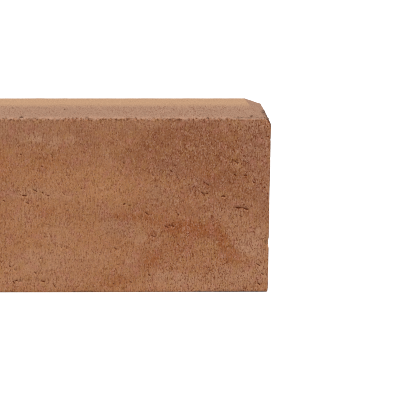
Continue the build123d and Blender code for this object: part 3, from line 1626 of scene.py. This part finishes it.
PATCHES = (
    Patch(Tint.TAN, 80, 184, (85, 26), 0.80, 4),
    Patch(Tint.TAN, 48, 178, (34, 14), 0.80),
    Patch(Tint.TAN, 60, 225, (80, 44), 0.50),
    Patch(Tint.TAN, 50, 266, (110, 34), 0.70),
    # Painted light: this long, low tan strip lightens the bottom rows of the front, where the lamp leaves
    # them darker.
    Patch(Tint.TAN, 134, 290, (230, 14), 0.60),
    Patch(Tint.TAN, 28, 192, (16, 10), 0.70),
    Patch(Tint.TAN, 30, 246, (10, 20), 0.70),
    Patch(Tint.TAN, 112, 190, (30, 14), 0.70, 6),
    Patch(Tint.UMBER, 190, 148, (78, 40), 0.75),
    Patch(Tint.UMBER, 160, 138, (24, 16), 0.85),
    Patch(Tint.UMBER, 146, 152, (20, 14), 0.60),
    Patch(Tint.UMBER, 208, 137, (34, 14), 0.70),
    Patch(Tint.UMBER, 222, 178, (34, 13), 0.95),
    Patch(Tint.UMBER, 208, 182, (12, 14), 0.80),
    Patch(Tint.PLUM, 170, 168, (26, 14), 0.80),
    Patch(Tint.PLUM, 254, 148, (20, 40), 0.85),
    Patch(Tint.PLUM, 262, 178, (14, 30), 0.60),
    Patch(Tint.PLUM, 196, 187, (16, 14), 0.60),
    Patch(Tint.PLUM, 88, 140, (16, 12), 0.50),
    Patch(Tint.PLUM, 200, 126, (44, 9), 0.55),
    Patch(Tint.ASH, 120, 126, (66, 9), 0.42),
    Patch(Tint.PLUM, 130, 130, (14, 8), 0.40),
    Patch(Tint.PLUM, 78, 131, (14, 12), 0.50),
    Patch(Tint.PLUM, 262, 214, (12, 14), 0.40),
    Patch(Tint.ASH, 250, 128, (26, 12), 0.55),
    Patch(Tint.ASH, 20, 130, (60, 22), 0.75),
    Patch(Tint.BLOOM, 53, 143, (10, 8), 0.60),
    Patch(Tint.BLOOM, 69, 142, (9, 9), 0.65),
    Patch(Tint.BLOOM, 32, 139, (14, 8), 0.70),
    Patch(Tint.BLOOM, 108, 154, (8, 14), 0.25),
    Patch(Tint.UMBER, 152, 205, (22, 9), 0.45),
    Patch(Tint.PLUM, 222, 207, (60, 12), 0.35),
    Patch(Tint.PLUM, 262, 196, (12, 24), 0.65),
    Patch(Tint.UMBER, 205, 181, (30, 10), 0.45),
    Patch(Tint.ASH, 214, 194, (16, 8), 0.50),
    Patch(Tint.TAN, 45, 194, (45, 9), 0.70),
    Patch(Tint.ASH, 36, 191, (12, 8), 0.45),
    Patch(Tint.ASH, 12, 194, (12, 9), 0.60),
    Patch(Tint.ASH, 154, 192, (14, 11), 0.65),
    Patch(Tint.ASH, 172, 197, (14, 12), 0.50),
    Patch(Tint.ORANGE, 44, 163, (40, 11), 0.75, 4),
    Patch(Tint.ORANGE, 4, 168, (14, 18), 0.95),
    Patch(Tint.TAN, 66, 280, (60, 10), 0.70),
    Patch(Tint.BLOOM, 40, 280, (70, 10), 0.45),
    Patch(Tint.UMBER, 132, 156, (20, 14), 0.70),
    Patch(Tint.UMBER, 148, 145, (16, 16), 0.90),
    Patch(Tint.UMBER, 216, 184, (16, 14), 0.75),
    Patch(Tint.UMBER, 98, 217, (18, 10), 0.30),
    Patch(Tint.UMBER, 214, 174, (18, 11), 0.90),
    Patch(Tint.UMBER, 76, 167, (12, 8), 0.30),
    Patch(Tint.BLOOM, 250, 127, (22, 7), 0.30),
    Patch(Tint.BLOOM, 152, 126, (16, 6), 0.25),
    Patch(Tint.BLOOM, 216, 279, (12, 8), 0.50),
    Patch(Tint.BLOOM, 256, 262, (12, 10), 0.40),
    Patch(Tint.UMBER, 140, 169, (18, 12), 0.38),
    Patch(Tint.UMBER, 166, 170, (14, 12), 0.45),
    Patch(Tint.ORANGE, 36, 180, (16, 8), 0.45),
    Patch(Tint.RUST, 186, 235, (16, 10), 0.60),
    Patch(Tint.RUST, 226, 256, (14, 12), 0.40),
    Patch(Tint.RUST, 164, 215, (14, 9), 0.40),
    Patch(Tint.RUST, 208, 175, (14, 9), 0.55),
    Patch(Tint.UMBER, 244, 191, (24, 14), 0.65),
    Patch(Tint.BLOOM, 256, 236, (16, 20), 0.80),
    Patch(Tint.BLOOM, 46, 194, (50, 9), 0.40),
    Patch(Tint.BLOOM, 26, 218, (14, 10), 0.45),
    Patch(Tint.BLOOM, 70, 264, (40, 14), 0.35),
    Patch(Tint.TAN, 36, 256, (24, 14), 0.90),
    Patch(Tint.RUST, 44, 213, (14, 8), 0.50, 12),
    Patch(Tint.RUST, 128, 216, (20, 8), 0.60),
    Patch(Tint.RUST, 152, 219, (16, 9), 0.65, 16),
    Patch(Tint.RUST, 190, 228, (44, 13), 0.95, 2),
    Patch(Tint.RUST, 184, 227, (20, 8), 1.00),
    Patch(Tint.UMBER, 172, 226, (10, 8), 0.85),
    Patch(Tint.RUST, 224, 241, (24, 9), 0.90, 48),
    Patch(Tint.UMBER, 214, 236, (11, 9), 0.70, 40),
    Patch(Tint.RUST, 233, 257, (15, 7), 0.75, 58),
    Patch(Tint.RUST, 153, 258, (12, 14), 0.75, 60),
    Patch(Tint.RUST, 151, 236, (10, 10), 0.55),
    Patch(Tint.RUST, 178, 246, (22, 14), 0.45),
    Patch(Tint.ORANGE, 115, 283, (26, 9), 0.90),
    Patch(Tint.ASH, 118, 228, (24, 14), 0.60),
    Patch(Tint.BLOOM, 58, 234, (22, 22), 0.38),
    Patch(Tint.BLOOM, 131, 262, (10, 14), 0.35),
    Patch(Tint.BLOOM, 236, 228, (24, 14), 0.28),
    Patch(Tint.BLOOM, 154, 238, (10, 14), 0.60),
    Patch(Tint.BLOOM, 262, 272, (12, 18), 0.70),
    Patch(Tint.BLOOM, 46, 258, (14, 10), 0.60),
    Patch(Tint.TAN, 84, 270, (20, 12), 0.70),
    Patch(Tint.TAN, 124, 256, (20, 10), 0.60),
    Patch(Tint.BLOOM, 200, 284, (80, 9), 0.50),
    Patch(Tint.BLOOM, 40, 262, (46, 18), 0.60),
    Patch(Tint.BLOOM, 90, 258, (30, 14), 0.35),
    Patch(Tint.BLOOM, 136, 236, (12, 10), 0.50),
    Patch(Tint.BLOOM, 175, 279, (40, 10), 0.75),
    Patch(Tint.BLOOM, 252, 246, (24, 15), 0.90, 12),
    Patch(Tint.BLOOM, 228, 214, (20, 10), 0.30),
    Patch(Tint.BLOOM, 240, 276, (34, 14), 0.60),
)

MARKS = (
    Mark(234.8, 207.3, 236.6, 207.6, 1.5, 0.8),
    Mark(236.8, 207.8, 239.8, 207.9, 2.8, 1.7),
    Mark(240.0, 207.4, 243.6, 208.0, 1.7, 1.0),
    Mark(244.4, 208.8, 247.6, 209.3, 2.1, 1.4),
    Mark(243.0, 205.4, 244.2, 205.6, 1.3, 0.7),
    Mark(239.0, 215.3, 240.2, 215.6, 1.6, 0.9),
    Mark(241.2, 216.3, 242.6, 216.6, 1.6, 0.9),
    Mark(221.6, 196.5, 224.6, 196.5, 2.1, 1.3),
    Mark(202.0, 192.2, 203.0, 193.4, 1.9, 1.2),
    Mark(203.0, 193.6, 204.4, 195.4, 1.7, 1.0),
    Mark(206.0, 193.2, 207.8, 193.9, 1.9, 1.1),
    Mark(203.4, 181.8, 206.0, 183.2, 1.7, 1.0),
    Mark(206.0, 183.2, 208.8, 185.6, 1.9, 1.1),
    Mark(193.2, 189.0, 193.4, 187.6, 1.8, 1.1),
    Mark(193.6, 187.2, 194.6, 186.0, 1.6, 0.9),
    Mark(234.2, 174.4, 236.0, 175.4, 1.8, 1.1),
    Mark(244.2, 175.5, 246.6, 175.7, 1.8, 1.1),
    Mark(253.2, 181.8, 254.6, 182.6, 1.8, 1.1),
    Mark(264.2, 187.4, 264.8, 188.0, 1.9, 1.1),
    Mark(230.8, 163.0, 232.6, 160.6, 1.5, 0.8),
    Mark(234.6, 161.0, 238.0, 163.8, 1.6, 0.9),
    Mark(243.0, 161.0, 248.6, 163.2, 1.5, 0.7),
    Mark(192.2, 150.8, 193.0, 151.6, 1.7, 1.0),
    Mark(123.2, 162.8, 124.4, 163.4, 1.7, 1.0),
    Mark(93.4, 185.3, 93.6, 185.8, 1.5, 1.0),
    Mark(93.3, 188.3, 93.5, 188.6, 1.5, 0.9),
    Mark(123.4, 204.2, 125.2, 203.6, 1.8, 1.2),
    Mark(127.8, 205.2, 130.4, 205.6, 1.6, 0.9),
    Mark(145.2, 212.2, 148.4, 214.6, 1.7, 1.1),
    Mark(171.0, 170.4, 172.2, 171.8, 1.8, 1.2),
    Mark(174.2, 165.0, 175.0, 165.8, 1.7, 1.1),
    Mark(176.2, 175.0, 178.6, 179.6, 1.5, 0.8),
    Mark(152.2, 174.6, 153.2, 175.2, 1.6, 0.9),
    Mark(177.8, 214.2, 178.4, 215.2, 1.8, 1.1),
    Mark(164.6, 226.4, 168.4, 227.6, 1.7, 1.0),
    Mark(169.4, 225.6, 173.4, 226.4, 1.8, 1.1),
    Mark(102.2, 196.3, 102.9, 196.9, 1.5, 0.8),
    Mark(23.0, 195.6, 26.4, 195.8, 2.0, 1.5),
    Mark(33.2, 189.4, 36.6, 191.8, 1.7, 1.1),
    Mark(42.2, 192.4, 43.0, 193.2, 1.8, 1.2),
    Mark(26.2, 202.4, 29.0, 203.8, 1.6, 0.9),
    Mark(47.4, 195.5, 49.2, 195.6, 1.6, 0.9),
    Mark(3.2, 201.0, 4.8, 201.2, 1.7, 1.1),
    Mark(51.4, 154.2, 52.6, 157.6, 1.6, 1.0),
    Mark(20.2, 154.2, 21.4, 154.8, 1.7, 1.0),
    Mark(81.4, 188.3, 82.2, 188.7, 1.6, 1.0),
    Mark(62.4, 193.0, 65.0, 194.6, 1.5, 0.8),
    Mark(65.2, 204.2, 66.2, 204.8, 1.6, 1.0),
    Mark(13.2, 281.6, 14.6, 283.4, 1.8, 1.3),
    Mark(15.8, 280.6, 17.6, 280.8, 1.8, 1.2),
    Mark(18.6, 281.6, 21.4, 281.0, 1.6, 1.0),
    Mark(41.2, 281.0, 44.2, 281.6, 1.8, 1.1),
    Mark(53.4, 283.6, 55.6, 287.6, 1.7, 1.0),
    Mark(9.6, 265.4, 11.0, 267.0, 1.7, 1.0),
    Mark(14.2, 269.6, 15.0, 270.4, 1.6, 0.9),
    Mark(34.6, 272.2, 36.2, 273.6, 1.7, 1.0),
    Mark(40.4, 258.2, 41.0, 258.9, 1.7, 1.0),
    Mark(61.2, 247.4, 61.9, 247.9, 1.6, 1.0),
    Mark(64.2, 246.2, 64.9, 246.6, 1.6, 1.0),
    Mark(66.4, 248.0, 67.2, 248.6, 1.6, 1.0),
    Mark(130.2, 281.8, 131.0, 282.6, 1.8, 1.1),
    Mark(149.0, 274.6, 149.8, 275.6, 1.7, 1.1),
    Mark(114.4, 247.8, 116.6, 249.6, 1.5, 0.9),
    Mark(117.0, 264.2, 118.2, 264.5, 1.5, 0.8),
    Mark(122.4, 264.3, 123.6, 264.5, 1.5, 0.8),
    Mark(113.2, 283.2, 114.0, 283.8, 1.6, 1.0),
    Mark(151.6, 235.6, 156.2, 237.4, 1.5, 0.9),
    Mark(256.6, 264.0, 259.8, 265.6, 1.8, 1.1),
    Mark(257.8, 283.2, 259.6, 284.8, 1.9, 1.2),
    Mark(261.4, 273.4, 263.0, 274.6, 1.8, 1.1),
    Mark(261.2, 138.3, 262.2, 138.7, 1.6, 1.0),
    Mark(267.0, 136.4, 268.6, 136.8, 1.6, 1.0),
    Mark(255.2, 148.2, 255.8, 148.6, 1.6, 1.0),
    Mark(20.4, 117.0, 22.6, 117.0, 2.4, 1.2, Side.BEVEL),
    Mark(250.6, 116.0, 252.0, 115.8, 2.2, 1.1, Side.BEVEL),
    Mark(64.2, 109.4, 65.0, 109.4, 1.6, 1.0, Side.BEVEL),
    Mark(66.4, 109.6, 69.0, 109.6, 1.2, 0.5, Side.BEVEL),
    Mark(12.2, 107.4, 13.4, 108.6, 1.6, 0.7, Side.BEVEL),
    Mark(76.2, 117.6, 77.4, 118.2, 1.8, 0.9, Side.BEVEL),
    Mark(265.8, 117.8, 267.4, 119.6, 2.0, 0.9),
    Mark(267.8, 120.2, 269.0, 123.0, 1.8, 0.8),
)


def main() -> None:
    """Builds the kerb, the studio and the camera."""
    logging.basicConfig(level=logging.INFO, format="%(relativeCreated)d %(name)s: %(message)s")
    size = KerbSize.from_frame("kerb")
    view = PhotoView()
    block = Kerb(size, CastConcrete(size, view, PATCHES), view, MARKS).build()
    LOG.info("%s: %d faces", block.name, len(block.data.polygons))
    Studio().build()
    view.build()
    bpy.context.scene.view_settings.view_transform = "Standard"
    bpy.context.scene.cycles.use_denoising = False
    bpy.context.scene.cycles.filter_width = 1.0


if __name__ == "__main__":
    main()
